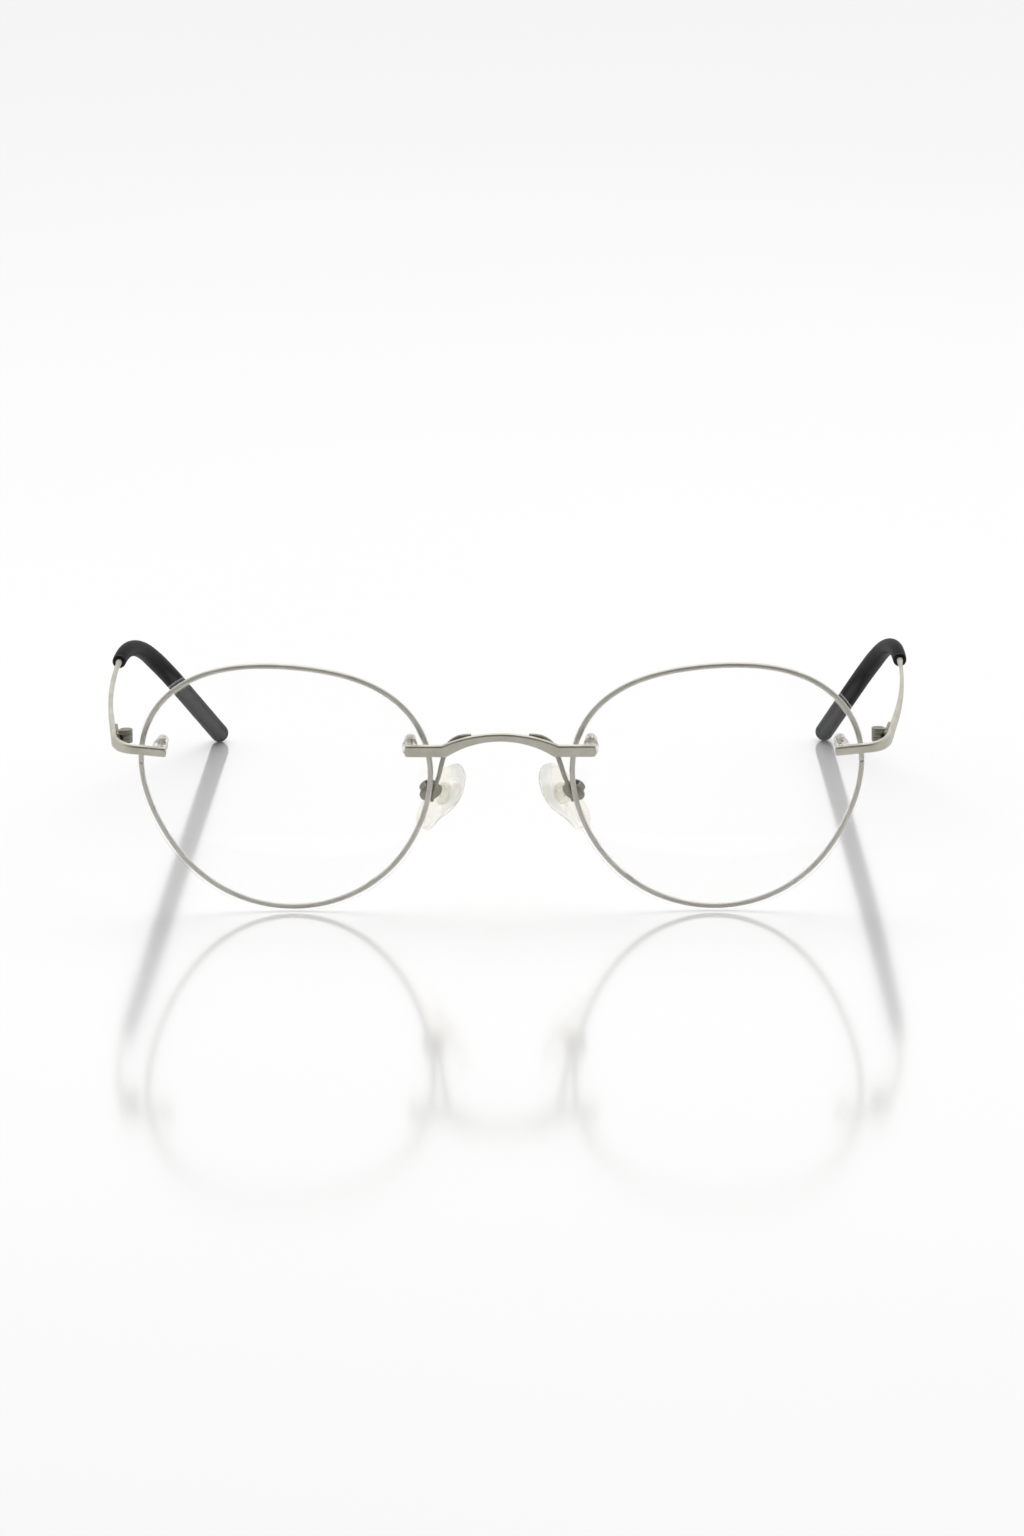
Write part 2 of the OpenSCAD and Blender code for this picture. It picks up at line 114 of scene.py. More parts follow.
# Where the glasses' own measures sit in the row's frame
HINGE = Vector(JOINTS["left_temple_fold"]["pos_m"]) / MM
ORIGIN_Y = HINGE.y - HINGE_Y
SIDES = (("left", 1), ("right", -1))
UP = Vector((0, 0, 1))


def mix(a, b, t):
    return a + (b - a) * t


def between(a, b, n):
    """n places evenly from a to b, without a."""
    return [mix(a, b, k / n) for k in range(1, n + 1)]


def clamp(t):
    return min(max(t, 0.0), 1.0)


def ease(t):
    t = clamp(t)
    return t * t * (3 - 2 * t)


def front_y(u, w):
    """The lens's front surface at u outwards and w up from the lens's middle."""
    return CENTRE_Y - math.sqrt(LENS_R ** 2 - u * u - w * w)


def mid_y(u, w):
    """The surface halfway through the lens, at the same place."""
    return CENTRE_Y - math.sqrt(MID_R ** 2 - u * u - w * w)


FRONT_LIFT = -front_y(0, LENS_Z) * math.sin(LEAN)
HOLE_W = BAR_Z - LENS_Z
BRIDGE_BACK_Y = front_y(LENS_X - NASAL_X, HOLE_W) - STANDOFF
LEANING = Matrix.Translation((0, ORIGIN_Y, FRONT_LIFT)) @ Matrix.Rotation(LEAN, 4, "X")
PAD_FRAME = (LEANING @ Matrix.Translation(PAD_AT) @ Matrix.Rotation(-PAD_FRONTAL, 4, "Y")
             @ Matrix.Rotation(-PAD_SPLAY, 4, "Z"))


def leaned(p):
    """From the upright frame of the front to the row's frame."""
    return LEANING @ Vector(p)


def from_hinge(c, a, z):
    """From the hinge's own directions (c outwards, a back, z up) to the row's frame."""
    out = Vector((math.cos(SPLAY), -math.sin(SPLAY), 0))
    back = Vector((math.sin(SPLAY), math.cos(SPLAY), 0))
    return HINGE + out * c + back * a + UP * z


def outline(phi):
    """The lens's radius at an angle that goes from outwards (0) towards the top."""
    share = (1 + LIFT * math.sin(phi) + OVAL * math.cos(2 * phi) + SKEW * math.sin(2 * phi)
             + TURN * math.cos(3 * phi) + BROW * math.sin(3 * phi) + SQUARE * math.cos(4 * phi))
    return RING_R * share


def add_object(name, data):
    """Put a mesh, light or camera in the scene."""
    item = bpy.data.objects.new(name, data)
    bpy.context.scene.collection.objects.link(item)
    return item


# Meshes

def make_piece(name, points, faces, side, material, body, replaces=(), uv=None, sharp=35):
    """A mesh from points in mm, mirrored for the right side, that rides on its body."""
    mesh = bpy.data.meshes.new(name)
    if side < 0:
        faces = [tuple(reversed(face)) for face in faces]
    mesh.from_pydata([(side * p[0] * MM, p[1] * MM, p[2] * MM) for p in points], [], faces)
    if uv:
        layer = mesh.uv_layers.new(name="along")
        for loop in mesh.loops:
            layer.data[loop.index].uv = uv[loop.vertex_index]
    mesh.shade_smooth()
    mesh.set_sharp_from_angle(angle=math.radians(sharp))
    mesh.materials.append(material)
    piece = add_object(name, mesh)
    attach(piece, body)
    if replaces:
        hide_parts(*replaces)
    return piece


def disc(r, n=24):
    """Section: a circle."""
    return [(r * math.cos(k * math.tau / n), r * math.sin(k * math.tau / n)) for k in range(n)]


def bar(w, h, r, n=4):
    """Section: a rectangle with round corners."""
    points = []
    for sx, sy, start in ((1, 1, 0), (-1, 1, 90), (-1, -1, 180), (1, -1, 270)):
        for k in range(n + 1):
            angle = math.radians(start + k * 90 / n)
            points.append((sx * (w / 2 - r) + r * math.cos(angle), sy * (h / 2 - r) + r * math.sin(angle)))
    return points


def ring_at(path, i, up, section):
    """A section's points round path point i, across its tangent, with the section's y towards up."""
    tangent = (path[min(i + 1, len(path) - 1)] - path[max(i - 1, 0)]).normalized()
    across = tangent.cross(up).normalized()
    top = across.cross(tangent)
    return [path[i] + across * x + top * y for x, y in section]


def skin(rings, loop=False, caps=True):
    """Points, faces and (length, girth) in mm for a row of rings; a looped row closes on itself."""
    n = len(rings[0])
    m = len(rings)
    points = [p for ring in rings for p in ring]
    faces = [
        (i * n + j, i * n + (j + 1) % n, (i + 1) % m * n + (j + 1) % n, (i + 1) % m * n + j)
        for i in range(m if loop else m - 1) for j in range(n)
    ]
    if caps and not loop:
        faces += [tuple(range(n - 1, -1, -1)), tuple((m - 1) * n + j for j in range(n))]
    along = 0.0
    uv = []
    for i, ring in enumerate(rings):
        if i:
            along += (ring[0] - rings[i - 1][0]).length
        girth = 0.0
        for j, p in enumerate(ring):
            uv.append((along, girth))
            girth += (ring[(j + 1) % n] - p).length
    return points, faces, uv


def rounded_ends(rings, start=0.0, end=0.0, steps=4):
    """Rings that round off the start or end of a row by this depth."""
    def cap(ring, inward, depth):
        middle = sum(ring, Vector()) / len(ring)
        reach = max((p - middle).length for p in ring)
        out = []
        for k in range(steps):
            a = math.pi / 2 * k / steps
            size = 1 - min(depth / reach, 1) * (1 - math.sin(a))
            out.append([middle + (p - middle) * size + inward * depth * math.cos(a) for p in ring])
        return out

    def mid(ring):
        return sum(ring, Vector()) / len(ring)

    row = list(rings)
    if start:
        out_of = (mid(rings[0]) - mid(rings[1])).normalized()
        base = [p - out_of * start for p in rings[0]]
        row = cap(base, out_of, start) + [base] + row[1:]
    if end:
        out_of = (mid(rings[-1]) - mid(rings[-2])).normalized()
        base = [p - out_of * end for p in rings[-1]]
        row = row[:-1] + [base] + cap(base, out_of, end)[::-1]
    return row


def spun(profile, n=48):
    """Points, faces and uv of a closed (radius, y) profile turned about y."""
    points, faces, uv = [], [], []
    m = len(profile)
    for k in range(n):
        a = k * math.tau / n
        for i, (r, y) in enumerate(profile):
            points.append(Vector((r * math.cos(a), y, r * math.sin(a))))
            uv.append((r * a, i))
    for k in range(n):
        for i in range(m):
            faces.append((k * m + i, k * m + (i + 1) % m, (k + 1) % n * m + (i + 1) % m, (k + 1) % n * m + i))
    return points, faces, uv


def bezier(p, t):
    """The point at t on the cubic curve with these four control points."""
    a, b, c = (mix(p[i], p[i + 1], t) for i in range(3))
    return mix(mix(a, b, t), mix(b, c, t), t)


def spline(p, steps):
    """A smooth line through the points."""
    line = []
    for i in range(len(p) - 1):
        before, after = p[max(i - 1, 0)], p[min(i + 2, len(p) - 1)]
        part = [p[i], p[i] + (p[i + 1] - before) / 6, p[i + 1] - (after - p[i]) / 6, p[i + 1]]
        line += [bezier(part, k / steps) for k in range(steps)]
    return line + [p[-1]]


# Materials

class Nodes:
    """A material's node tree, with short calls to add and join nodes."""

    def __init__(self, name):
        self.material = bpy.data.materials.new(name)
        self.material.use_nodes = True
        self.tree = self.material.node_tree
        self.tree.nodes.clear()
        self.output = self.add("ShaderNodeOutputMaterial")
        self.shader = self.add("ShaderNodeBsdfPrincipled")
        self.join(self.shader.outputs[0], self.output.inputs["Surface"])

    def add(self, kind, **inputs):
        node = self.tree.nodes.new(kind)
        for name, value in inputs.items():
            node.inputs[name.replace("_", " ")].default_value = value
        return node

    def join(self, source, target):
        self.tree.links.new(source, target)

    def noise(self, source, scale, detail=3.0, roughness=0.5):
        node = self.add("ShaderNodeTexNoise", Scale=scale, Detail=detail, Roughness=roughness)
        self.join(source, node.inputs["Vector"])
        return node.outputs["Fac"]

    def ranged(self, source, low, high):
        node = self.add("ShaderNodeMapRange", To_Min=low, To_Max=high)
        self.join(source, node.inputs["Value"])
        return node.outputs["Result"]

    def ramp(self, source, dark, light, start=0.3, end=0.7):
        node = self.tree.nodes.new("ShaderNodeValToRGB")
        low, high = node.color_ramp.elements
        low.position, low.color = start, (*dark, 1)
        high.position, high.color = end, (*light, 1)
        self.join(source, node.inputs["Fac"])
        return node.outputs["Color"]

    def bump(self, height, strength, distance):
        node = self.add("ShaderNodeBump", Strength=strength, Distance=distance)
        self.join(height, node.inputs["Height"])
        self.join(node.outputs["Normal"], self.shader.inputs["Normal"])

    def set(self, **inputs):
        for name, value in inputs.items():
            self.shader.inputs[name.replace("_", " ")].default_value = value


def metal(name, dark, light, rough, streaks):
    """Satin plated metal: fine brushing along a swept piece (streaks), or a fine grain on a small one."""
    spread = 0.16
    n = Nodes(name)
    n.set(Metallic=1.0)
    coords = n.add("ShaderNodeTexCoord")
    if streaks:
        stretch = n.add("ShaderNodeMapping", Scale=(0.35, 9.0, 1.0))
        n.join(coords.outputs["UV"], stretch.inputs["Vector"])
        grain = n.noise(stretch.outputs["Vector"], scale=2.2, detail=4.0, roughness=0.6)
    else:
        grain = n.noise(coords.outputs["Object"], scale=9000.0, detail=3.0, roughness=0.6)
    smudge = n.noise(coords.outputs["Object"], scale=260.0, detail=3.0, roughness=0.55)
    n.join(n.ramp(smudge, dark, light), n.shader.inputs["Base Color"])
    mixed = n.add("ShaderNodeMath")
    n.join(grain, mixed.inputs[0])
    n.join(smudge, mixed.inputs[1])
    n.join(n.ranged(mixed.outputs[0], rough - spread, rough + spread), n.shader.inputs["Roughness"])
    n.bump(grain, strength=0.25, distance=0.00002)
    return n.material


def clear(name, tints, ior, rough, wave, middle, edge):
    """Clear glass, plastic or silicone: middle and edge are its opacity seen face on and edge on."""
    n = Nodes(name)
    n.set(IOR=ior, Transmission_Weight=1.0)
    turned = n.add("ShaderNodeLayerWeight", Blend=0.5)
    solid = n.add("ShaderNodeMapRange", From_Min=0.35, From_Max=0.95, To_Min=middle, To_Max=edge)
    solid.interpolation_type = "SMOOTHSTEP"
    n.join(turned.outputs["Facing"], solid.inputs["Value"])
    n.join(solid.outputs["Result"], n.shader.inputs["Alpha"])
    coords = n.add("ShaderNodeTexCoord")
    slow = n.noise(coords.outputs["Object"], scale=90.0, detail=2.0)
    fine = n.noise(coords.outputs["Object"], scale=1600.0, detail=2.0)
    n.join(n.ramp(slow, *tints), n.shader.inputs["Base Color"])
    n.join(n.ranged(fine, rough[0], rough[1]), n.shader.inputs["Roughness"])
    n.bump(slow, strength=wave, distance=0.00005)
    return n.material


def acetate(name):
    """Black tip sleeve with a soft polish that dies away at low angles, and faint handling marks."""
    n = Nodes(name)
    n.set(IOR=1.45)
    turned = n.add("ShaderNodeLayerWeight", Blend=0.5)
    gloss = n.add("ShaderNodeMapRange", From_Min=0.25, From_Max=0.7, To_Min=0.35, To_Max=0.008)
    n.join(turned.outputs["Facing"], gloss.inputs["Value"])
    n.join(gloss.outputs["Result"], n.shader.inputs["Specular IOR Level"])
    coords = n.add("ShaderNodeTexCoord")
    cloud = n.noise(coords.outputs["Object"], scale=180.0, detail=4.0, roughness=0.6)
    grain = n.noise(coords.outputs["Object"], scale=2600.0, detail=3.0, roughness=0.6)
    n.join(n.ramp(cloud, (0.004, 0.004, 0.005), (0.010, 0.010, 0.011)), n.shader.inputs["Base Color"])
    n.join(n.ranged(grain, 0.3, 0.45), n.shader.inputs["Roughness"])
    n.bump(grain, strength=0.08, distance=0.00003)
    return n.material


NICKEL = metal("satin_nickel", (0.46, 0.445, 0.375), (0.58, 0.565, 0.485), rough=0.30, streaks=True)
WIRE = metal("rim_wire_nickel", (0.54, 0.525, 0.475), (0.64, 0.625, 0.57), rough=0.42, streaks=True)
# A darker copy of the bars' nickel: painted shade, set for the pad arms in the shadow under the bridge; the
# pad boxes and hinges take the same darkened tone.
SHADE_DARKENED_FITTING = metal("fitting_nickel_shade_darkened", (0.23, 0.22, 0.185), (0.33, 0.315, 0.27), rough=0.34, streaks=False)
FASTENER = metal("turned_nickel", (0.26, 0.25, 0.22), (0.38, 0.36, 0.32), rough=0.30, streaks=False)
LENS = clear("lens_glass", ((0.965, 0.98, 0.975), (0.985, 0.992, 0.99)), ior=1.5, rough=(0.0, 0.006),
             wave=0.004, middle=0.03, edge=0.45)
NYLON = clear("clear_nylon", ((0.70, 0.67, 0.56), (0.82, 0.80, 0.70)), ior=1.5, rough=(0.06, 0.16),
              wave=0.05, middle=0.6, edge=1.0)
SILICONE = clear("pad_silicone", ((0.78, 0.74, 0.55), (0.88, 0.85, 0.70)), ior=1.41, rough=(0.05, 0.14),
                 wave=0.06, middle=0.4, edge=1.0)
ACETATE = acetate("black_acetate")


# Pieces

def rim_wire(name, side):
    """Round wire in the lens's groove, whose two ends meet just below the end piece."""
    half_gap = SEAM_GAP / 2 / RING_R
    end_round = 0.08
    rings = []
    for i in range(RING_STEPS + 1):
        phi = SEAM_AT + mix(half_gap, math.tau - half_gap, i / RING_STEPS)
        out = Vector((math.cos(phi), 0, math.sin(phi)))
        p = out * outline(phi)
        middle = Vector((p.x, mid_y(p.x, p.z), p.z))
        middle += Vector((LENS_X, 0, LENS_Z))
        rings.append([leaned(middle + out * x - Vector((0, y, 0))) for x, y in disc(WIRE_R, 20)])
    points, faces, uv = skin(rounded_ends(rings, end_round, end_round))
    make_piece(f"{name}_rim", points, faces, side, WIRE, "front", [f"{name}_rim_wire"], uv)


def arch(x, half, rise):
    """Height at x of a circular arch with this half width and rise."""
    r = (half * half + rise * rise) / (2 * rise)
    return math.sqrt(r * r - x * x) - r + rise


def bridge():
    """The flat bar with its arch: the section is full height at the ends and thinner over the nose."""
    kink_step = 0.7  # how much further out the arch starts on top than underneath
    under_kink, top_kink = BRIDGE_KINK, BRIDGE_KINK + kink_step
    top_rise = BRIDGE_RISE + BRIDGE_MID_H - BRIDGE_H
    corner, corner_steps = 0.5, 6
    corner_angles = [math.pi / 2 * k / corner_steps for k in range(corner_steps + 1)]
    stations = [-BRIDGE_HALF + corner * (1 - math.cos(a)) for a in corner_angles]
    stations += between(stations[-1], -top_kink, 6)
    stations += between(-top_kink, -under_kink, 4)
    stations += between(-under_kink, 0, 24)
    stations += [-x for x in reversed(stations[:-1])]
    rings = []
    for x in stations:
        inset = corner - (BRIDGE_HALF - abs(x))
        short = corner - math.sqrt(max(corner ** 2 - inset ** 2, 0)) if inset > 0 else 0.0
        low = (arch(x, under_kink, BRIDGE_RISE) if abs(x) < under_kink else 0) - BRIDGE_H / 2 + short
        high = (arch(x, top_kink, top_rise) if abs(x) < top_kink else 0) + BRIDGE_H / 2 - short
        middle = Vector((x, BRIDGE_BACK_Y - BAR_D / 2, BAR_Z + (low + high) / 2))
        rings.append([leaned(middle + Vector((0, -u, v))) for u, v in bar(BAR_D, high - low, CHAMFER, 1)])
    points, faces, uv = skin(rings)
    make_piece("bridge", points, faces, 1, NICKEL, "front", ["bridge_bar"], uv)


def end_piece(name, side):
    """Bar across the lens, then an elbow that turns back to the hinge."""
    along = Vector((math.cos(WRAP), math.sin(WRAP), 0))
    to_bar = STANDOFF + BAR_D / 2
    hole_y = front_y(TEMPORAL_X - LENS_X, HOLE_W)
    middle = Vector((TEMPORAL_X + math.sin(WRAP) * to_bar, hole_y - math.cos(WRAP) * to_bar, BAR_Z))
    inner, start, pull_in, pull_out, elbow_back = -1.3, 4.0, 2.4, 2.8, 2.3
    elbow_in = leaned(middle + along * start)
    elbow_out = from_hinge(BLADE_MID, -elbow_back, 0)
    elbow = [
        elbow_in,
        elbow_in + (leaned(along) - leaned((0, 0, 0))) * pull_in,
        elbow_out - (from_hinge(0, 1, 0) - HINGE) * pull_out,
        elbow_out,
    ]
    bar_steps, steps = 6, 32
    path = [leaned(middle + along * mix(inner, start, k / bar_steps)) for k in range(bar_steps)]
    path += [bezier(elbow, k / steps) for k in range(steps + 1)]
    path += [from_hinge(BLADE_MID, -elbow_back / 2, 0), from_hinge(BLADE_MID, -BUTT_GAP, 0)]
    lens_up = Vector((0, -math.sin(LEAN), math.cos(LEAN)))
    rings = []
    for i in range(len(path)):
        turn = clamp((i - bar_steps) / steps)
        section = bar(mix(BAR_D, BLADE_T, turn), mix(END_BAR_H, BLADE_H, min(2 * turn, 1)) - TRIM, CHAMFER, 1)
        rings.append(ring_at(path, i, mix(lens_up, UP, turn), section))
    points, faces, uv = skin(rounded_ends(rings, start=0.3, end=0.1))
    make_piece(f"{name}_end", points, faces, side, NICKEL, "front", [f"{name}_end_piece"], uv)


def side_offset(a):
    """How far outwards the temple's middle is, at a back from the hinge."""
    return BLADE_MID - max(a - SIDE_START, 0) ** 2 / (2 * SIDE_R)


BEND1_LEN = BEND_R * (BEND_SLOPE + RISE)
LINE_LEN = FRONT_LEN + BEND1_LEN + SLACK_R * (TIP_SLOPE - BEND_SLOPE)


def on_bend(a, z, r, slope, d):
    """The point d along a bend of radius r that starts at (a, z) with this downward slope."""
    end = slope + d / r
    return a + r * (math.sin(end) - math.sin(slope)), z + r * (math.cos(end) - math.cos(slope))


def line_side_view(s):
    """The point s along the temple's line, seen from the side as (a, z)."""
    bend_start = (FRONT_LEN * math.cos(RISE), FRONT_LEN * math.sin(RISE))
    if s < FRONT_LEN:
        return s * math.cos(RISE), s * math.sin(RISE)
    if s < FRONT_LEN + BEND1_LEN:
        return on_bend(*bend_start, BEND_R, -RISE, s - FRONT_LEN)
    slack_start = on_bend(*bend_start, BEND_R, -RISE, BEND1_LEN)
    return on_bend(*slack_start, SLACK_R, BEND_SLOPE, s - FRONT_LEN - BEND1_LEN)


def temple_point(s):
    """The point s along the temple's line, in the row's frame."""
    a, z = line_side_view(s)
    return from_hinge(side_offset(a), a, z)


def tip_end():
    """The middle of the tip's round end, which rests on the ground, and the way the tip points."""
    a, _ = line_side_view(LINE_LEN)
    turn = (a - SIDE_START) / SIDE_R
    local = Vector((-turn * math.cos(TIP_SLOPE), math.cos(TIP_SLOPE), -math.sin(TIP_SLOPE))).normalized()
    way = from_hinge(*local) - HINGE
    start = temple_point(LINE_LEN)
    return start + way * ((start.z - SLEEVE_R) / -way.z), way


def temple(name, side):
    """Flat blade that tapers, then a round core that goes into the sleeve."""
    steps, neck, core_end = 120, 3.0, 3.5
    blade_corner, core_corner = 0.28, 0.45
    last = LINE_LEN - core_end
    places = [BUTT_GAP + (last - BUTT_GAP) * i / steps for i in range(steps + 1)]
    path = [temple_point(s) for s in places]
    rings = []
    for i, s in enumerate(places):
        taper = clamp(s / (SLEEVE_START - neck))
        into = ease((s - SLEEVE_START + neck) / neck)
        w = mix(mix(BLADE_T, BLADE_END_T, taper), CORE_W, into)
        h = mix(mix(BLADE_H, BLADE_END_H, taper), CORE_W, into)
        rings.append(ring_at(path, i, UP, bar(w, h - TRIM, mix(blade_corner, core_corner, into))))
    points, faces, uv = skin(rounded_ends(rings, start=0.1, end=0.2))
    body = f"{name}_temple_body"
    make_piece(f"{name}_blade", points, faces, side, NICKEL, body, [f"{name}_temple"], uv)


def tip_sleeve(name, side):
    """Black tube with a rounded mouth, a straight tip and a round end."""
    steps, tip_steps, dome_steps, mouth_steps = 90, 12, 10, 5
    bore_r, lip_r, bore_depth = 0.62, 0.25, 4.0
    end, way = tip_end()
    path = [temple_point(mix(SLEEVE_START, LINE_LEN, i / steps)) for i in range(steps + 1)]
    path += between(path[steps], end, tip_steps)
    radii = [mix(MOUTH_R, SLEEVE_R, clamp(i / steps / FULL_AT)) for i in range(len(path))]
    rings = [ring_at(path, i, UP, disc(r, 32)) for i, r in enumerate(radii)]
    first = path[0]
    inward = (path[1] - first).normalized()
    mouth = [[p + inward * bore_depth for p in ring_at(path, 0, UP, disc(bore_r, 32))],
             ring_at(path, 0, UP, disc(bore_r, 32))]
    for k in range(mouth_steps):
        a = math.pi / 2 * k / mouth_steps
        ring = ring_at(path, 0, UP, disc(MOUTH_R - lip_r * (1 - math.sin(a)), 32))
        mouth.append([p + inward * lip_r * (1 - math.cos(a)) for p in ring])
    second = next(i for i, p in enumerate(path) if (p - first).length > lip_r)
    dome = []
    for k in range(1, dome_steps):
        a = math.pi / 2 * k / dome_steps
        ring = [end + (p - end) * math.cos(a) for p in rings[-1]]
        dome.append([p + way * SLEEVE_R * math.sin(a) for p in ring])
    points, faces, uv = skin(mouth + rings[second:] + dome)
    body = f"{name}_temple_body"
    make_piece(f"{name}_sleeve", points, faces, side, ACETATE, body, [f"{name}_tip_sleeve"], uv)


def pad_arm(name, side):
    """Bent strip from behind the arch to the front ear of the pad box."""
    root_y = BRIDGE_BACK_Y + 0.27  # the strip's middle, just behind the bar
    line = [Vector(p) for p in (
        (4.6, root_y, BAR_Z + 2.35), (6.6, root_y + 0.05, BAR_Z + 2.05), (8.3, root_y + 0.18, BAR_Z + 0.7),
        (9.1, root_y + 0.55, BAR_Z - 1.4), (9.7, root_y + 1.5, 29.0),
    )]
    line += [PAD_AT + Vector(p) for p in ((-1.75, -2.3, 4.2), (-1.32, -1.6, 2.3), (-0.42, -1.12, -1.6))]
    thin, wide, corner, turn_rate = 0.5, 0.95, 0.15, 1.9
    path = spline(line, 14)
    rings = []
    for i in range(len(path)):
        t = i / (len(path) - 1)
        up = mix(UP, Vector((1, 0, 0)), min(t * turn_rate, 1))
        rings.append(ring_at(path, i, up, bar(mix(thin, wide, t), mix(wide, thin, t), corner)))
    points, faces, uv = skin(rounded_ends(rings, start=0.45, end=0.2))
    points = [leaned(p) for p in points]
    # The arm's darker nickel is painted shade from the bridge above.
    make_piece(f"{name}_arm", points, faces, side, SHADE_DARKENED_FITTING, "front", [f"{name}_pad_arm"], uv)


def pad_box(name, side):
    """Two round ears, the front one dished, joined by a web on the side away from the nose."""
    hole_r, edge, dish = 0.36, 0.08, 0.12
    rim_w, slope_w, flat_r = 0.3, 0.55, 0.62
    near, far = -EAR_OUT, -EAR_IN

    def ear(r):
        """Profile of a dished ear that faces forward."""
        return [
            (hole_r, far), (r - edge, far), (r, far - edge), (r, near + edge),
            (r - edge / 2, near + edge / 4), (r - edge, near), (r - rim_w, near + edge / 4),
            (r - slope_w, near + dish * 0.7), (flat_r, near + dish), (hole_r, near + dish),
        ]

    points, faces, uv = spun(ear(EAR_R))
    back_points, back_faces, back_uv = spun([(r, -y) for r, y in reversed(ear(BACK_EAR_R))])
    faces += [tuple(i + len(points) for i in face) for face in back_faces]
    points += back_points
    uv += back_uv
    web_x, web_t, web_h, web_into = 1.0, 0.35, 1.4, 0.1
    web = [[Vector((web_x + web_t / 2 + x, y, z)) for x, z in bar(web_t, web_h, 0.1)]
           for y in (-EAR_IN - web_into, EAR_IN + web_into)]
    web_points, web_faces, web_uv = skin(web)
    faces += [tuple(reversed([i + len(points) for i in face])) for face in web_faces]
    points += web_points
    uv += web_uv
    points = [PAD_FRAME @ p for p in points]
    make_piece(f"{name}_box", points, faces, side, SHADE_DARKENED_FITTING, "front", [f"{name}_pad_box"], uv)


def nose_pad(name, side):
    """Soft clear drop-shaped pad: domed towards the nose, flatter behind, narrow at the bottom."""
    rows, n = 40, 48
    length_share, back_share = 0.985, 0.9  # of the CAD pad's length, and of the nose side's dome
    half = PAD_LEN / 2 * length_share
    upper_r, lower_r, upper_mid, lower_mid = 3.72, 2.62, 0.25 * half, -0.5 * half
    upper_t, lower_t = PAD_T / 2 - 0.03, PAD_T / 2 - 0.22
    rings = []
    for i in range(1, rows):
        z = -half * math.cos(math.pi * i / rows)
        share = ease((z - lower_mid) / (upper_mid - lower_mid))
        wide = mix(lower_r, upper_r, share)
        thick = mix(lower_t, upper_t, share)
        over = (z - upper_mid) / (half - upper_mid) if z > upper_mid else 0.0
        under = (lower_mid - z) / (half + lower_mid) if z < lower_mid else 0.0
        size = math.sqrt(max(1 - max(over, under) ** 2, 0.0))
        ring = []
        for k in range(n):
            a = k * math.tau / n
            flat = back_share if math.cos(a) > 0 else 1.0
            ring.append(PAD_FRAME @ Vector((
                -PAD_OUT + thick * size * flat * math.cos(a), wide * size * math.sin(a), z - PAD_DROP)))
        rings.append(ring)
    points, faces, uv = skin(rings)
    pad = make_piece(f"{name}_pad_soft", points, faces, side, SILICONE, f"{name}_pad",
                     [f"{name}_nose_pad"], uv, sharp=60)


def finish_cad_node(node, material, bevel=0.0):
    """A small turned or cut piece keeps its exact CAD shape, with its sharp edges broken."""
    piece = frame["nodes"][node]
    piece.data.materials.clear()
    piece.data.materials.append(material)
    if bevel:
        weld = piece.modifiers.new("weld", "WELD")
        weld.merge_threshold = 0.001 * MM
        edge = piece.modifiers.new("edge", "BEVEL")
        edge.width = bevel * MM
        edge.segments = 2
        edge.limit_method = "ANGLE"
        edge.angle_limit = math.radians(40)


def object_pieces():
    """Every piece of the glasses."""
    bridge()
    for name, side in SIDES:
        rim_wire(name, side)
        end_piece(name, side)
        temple(name, side)
        tip_sleeve(name, side)
        pad_arm(name, side)
        pad_box(name, side)
        nose_pad(name, side)
        finish_cad_node(f"{name}_lens", LENS)
        for part in ("nasal_bush", "temporal_bush", "pad_insert"):
            finish_cad_node(f"{name}_{part}", NYLON)
        for part in ("nasal_pin", "temporal_pin"):
            finish_cad_node(f"{name}_{part}", FASTENER)
        for part in ("pad_screw", "hinge_screw"):
            finish_cad_node(f"{name}_{part}", FASTENER, bevel=0.03)
        for part in ("front_hinge", "temple_hinge"):
            finish_cad_node(f"{name}_{part}", SHADE_DARKENED_FITTING, bevel=0.05)


# Floor, light and camera

def floor():
    """A large pale glossy floor that fades out of sight."""
    half = 2.5
    mesh = bpy.data.meshes.new("floor")
    corners = [(-half, -half, 0), (half, -half, 0), (half, half, 0), (-half, half, 0)]
    mesh.from_pydata(corners, [], [(0, 1, 2, 3)])
    n = Nodes("pale_floor")
    n.set(IOR=1.6, Metallic=0.28)
    coords = n.add("ShaderNodeTexCoord")
    cloud = n.noise(coords.outputs["Object"], scale=3.0, detail=2.0)
    n.join(n.ramp(cloud, (0.93, 0.93, 0.93), (0.95, 0.95, 0.95)), n.shader.inputs["Base Color"])
    n.join(n.ranged(cloud, 0.10, 0.12), n.shader.inputs["Roughness"])
    mesh.materials.append(n.material)
    piece = add_object("floor", mesh)


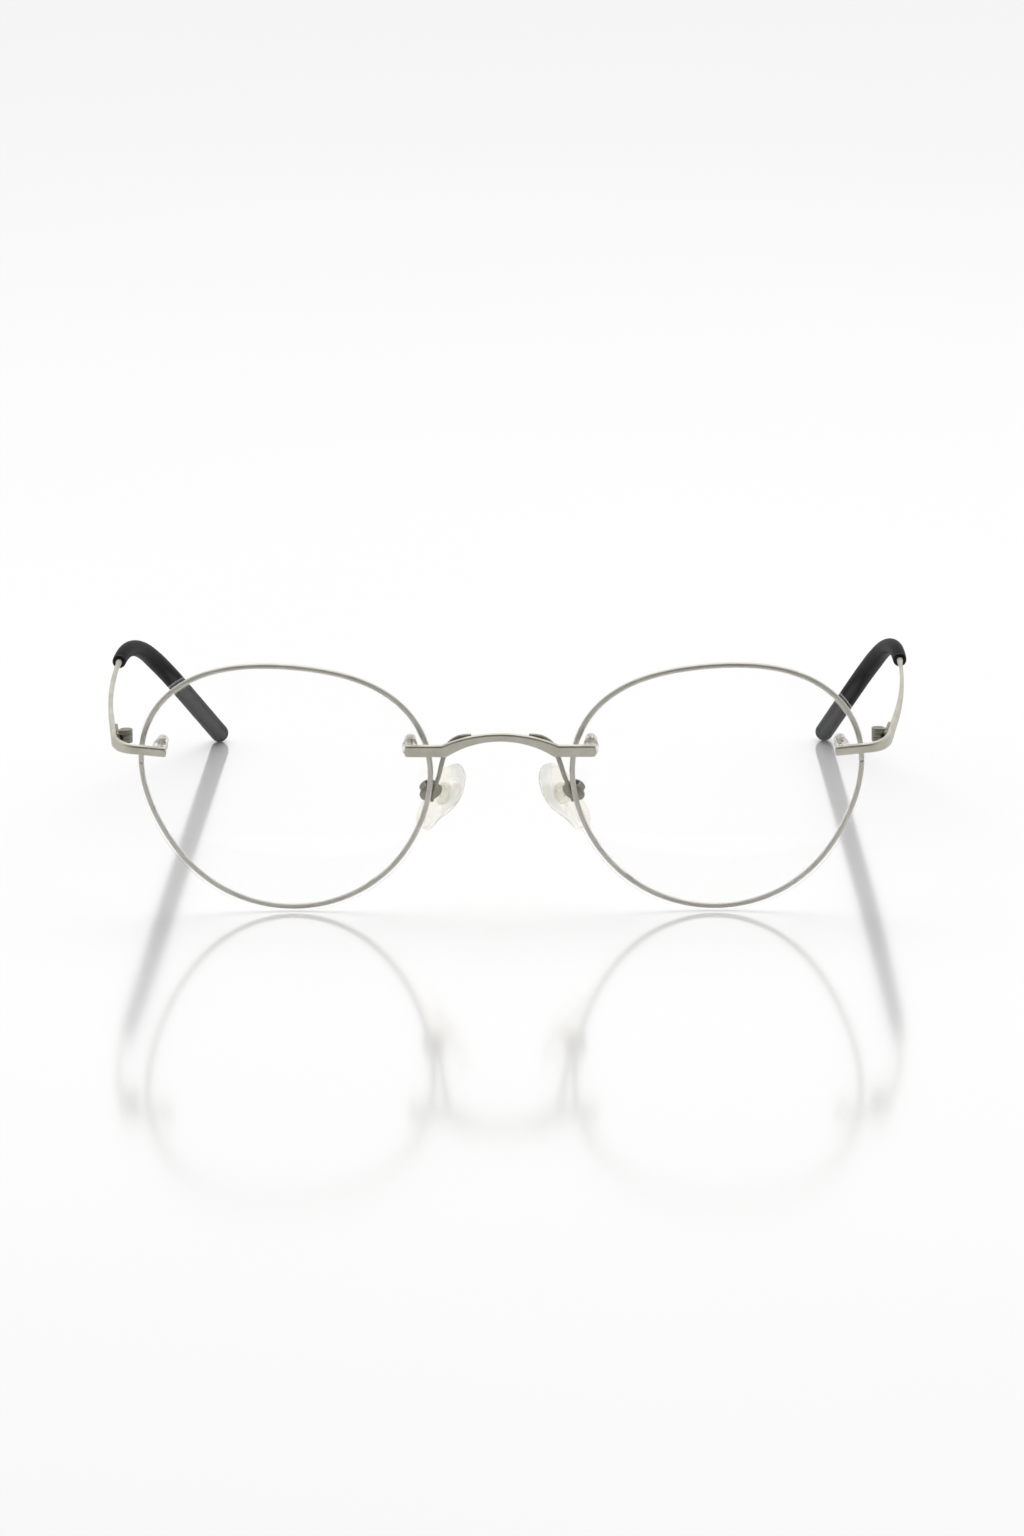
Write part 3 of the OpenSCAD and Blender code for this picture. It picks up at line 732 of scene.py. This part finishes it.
def aim(obj, target, roll=0.0):
    """Turn a light or camera to face the target, rolled about its line of sight."""
    away = obj.location - Vector(target)
    obj.rotation_mode = "QUATERNION"
    obj.rotation_quaternion = away.to_track_quat("Z", "Y") @ Matrix.Rotation(roll, 4, "Z").to_quaternion()


def area_light(name, place, size, power):
    """A rectangular light at this place, aimed at the glasses."""
    data = bpy.data.lights.new(name, "AREA")
    data.shape = "RECTANGLE"
    data.size, data.size_y = size
    data.energy = power
    light = add_object(name, data)
    light.location = place
    aim(light, (0, 0, 0.02))


def studio():
    """White behind and above, dark on the camera's side, with a softbox overhead."""
    world = bpy.data.worlds.new("studio")
    bpy.context.scene.world = world
    world.use_nodes = True
    tree = world.node_tree
    background = tree.nodes["Background"]
    background.inputs["Strength"].default_value = 1.0
    coords = tree.nodes.new("ShaderNodeTexCoord")
    axes = tree.nodes.new("ShaderNodeSeparateXYZ")
    shade = tree.nodes.new("ShaderNodeValToRGB")
    low, high = shade.color_ramp.elements
    low.position, low.color = 0.1, (0.06, 0.06, 0.06, 1)
    high.position, high.color = 0.55, (1, 1, 1, 1)
    half = tree.nodes.new("ShaderNodeMapRange")
    half.inputs["From Min"].default_value = -1.0
    tree.links.new(coords.outputs["Generated"], axes.inputs[0])
    tree.links.new(axes.outputs["Y"], half.inputs["Value"])
    tree.links.new(half.outputs["Result"], shade.inputs["Fac"])
    tree.links.new(shade.outputs["Color"], background.inputs["Color"])
    area_light("top_softbox", (0, 0.1, 0.9), (1.0, 0.7), 3.8)
    bpy.context.scene.view_settings.view_transform = "Standard"


def camera():
    """A long lens a metre and a half away, a little above the glasses and to +X of their middle."""
    distance = 1.5
    elevation, azimuth, roll = (math.radians(v) for v in (13.86, 1.58, -0.5))
    target = Vector((0.0001, -0.0004, 0.0117))
    data = bpy.data.cameras.new("camera")
    data.sensor_width = 36
    data.lens = 207.4
    data.clip_start, data.clip_end = 0.05, 20
    cam = add_object("camera", data)
    level = distance * math.cos(elevation)
    towards = Vector((level * math.sin(azimuth), -level * math.cos(azimuth), distance * math.sin(elevation)))
    cam.location = target + towards
    aim(cam, target, roll)
    bpy.context.scene.camera = cam


object_pieces()
floor()
studio()
camera()
